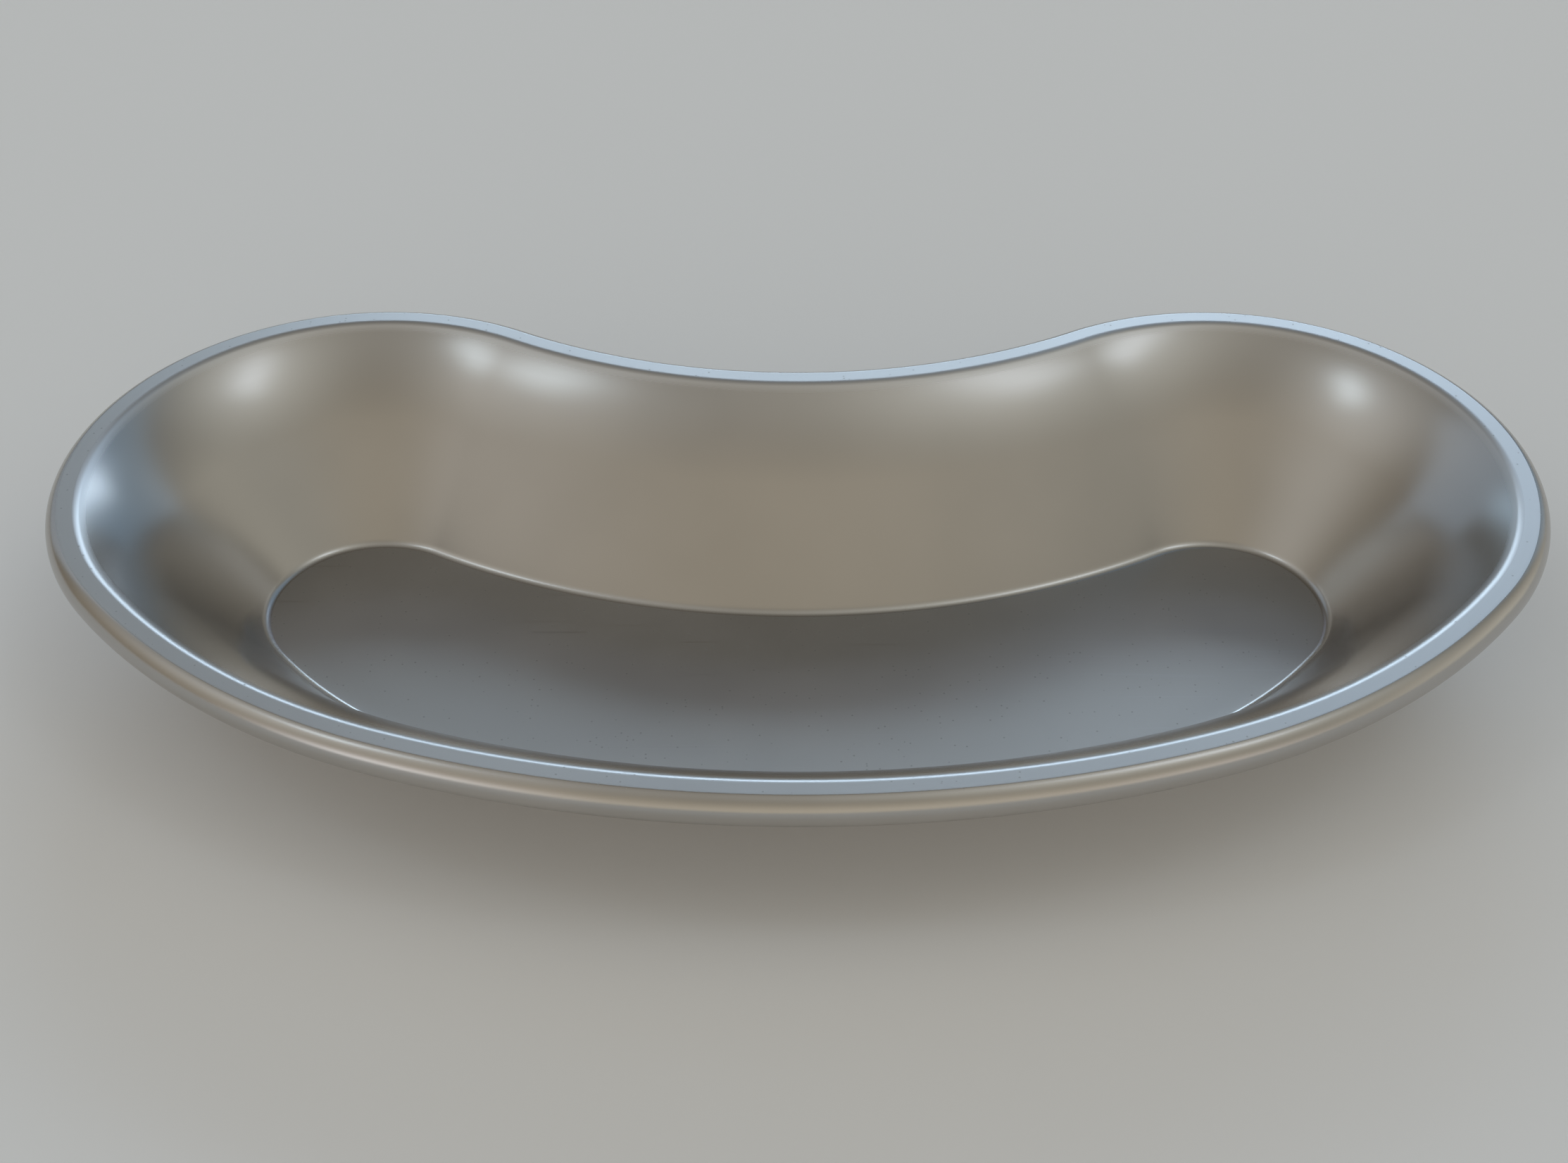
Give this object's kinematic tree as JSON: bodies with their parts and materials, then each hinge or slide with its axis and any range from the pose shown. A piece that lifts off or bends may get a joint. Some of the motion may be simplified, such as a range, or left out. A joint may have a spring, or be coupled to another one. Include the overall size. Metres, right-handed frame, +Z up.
{
  "type": "kidney dish",
  "caption": "Shallow kidney-shaped dish in pressed stainless steel, with flared walls, a flat floor and a rim curled over a wire.",
  "frame": {"origin": "on the resting face, under the middle of the dish's bounding box", "axes": "+X along the dish's length, +Y from the long convex side to the hollow waist, +Z up out of the dish"},
  "size_m": [0.2544, 0.1318, 0.0313],
  "materials": {
    "pressed_steel": "satin stainless steel, finely rubbed, with a slightly rougher floor",
    "wire_steel": "plain drawn wire, hidden in the curled rim"
  },
  "bodies": {
    "root": {"dish_shell": "pressed_steel", "rim_wire": "wire_steel"}
  },
  "joints": []
}
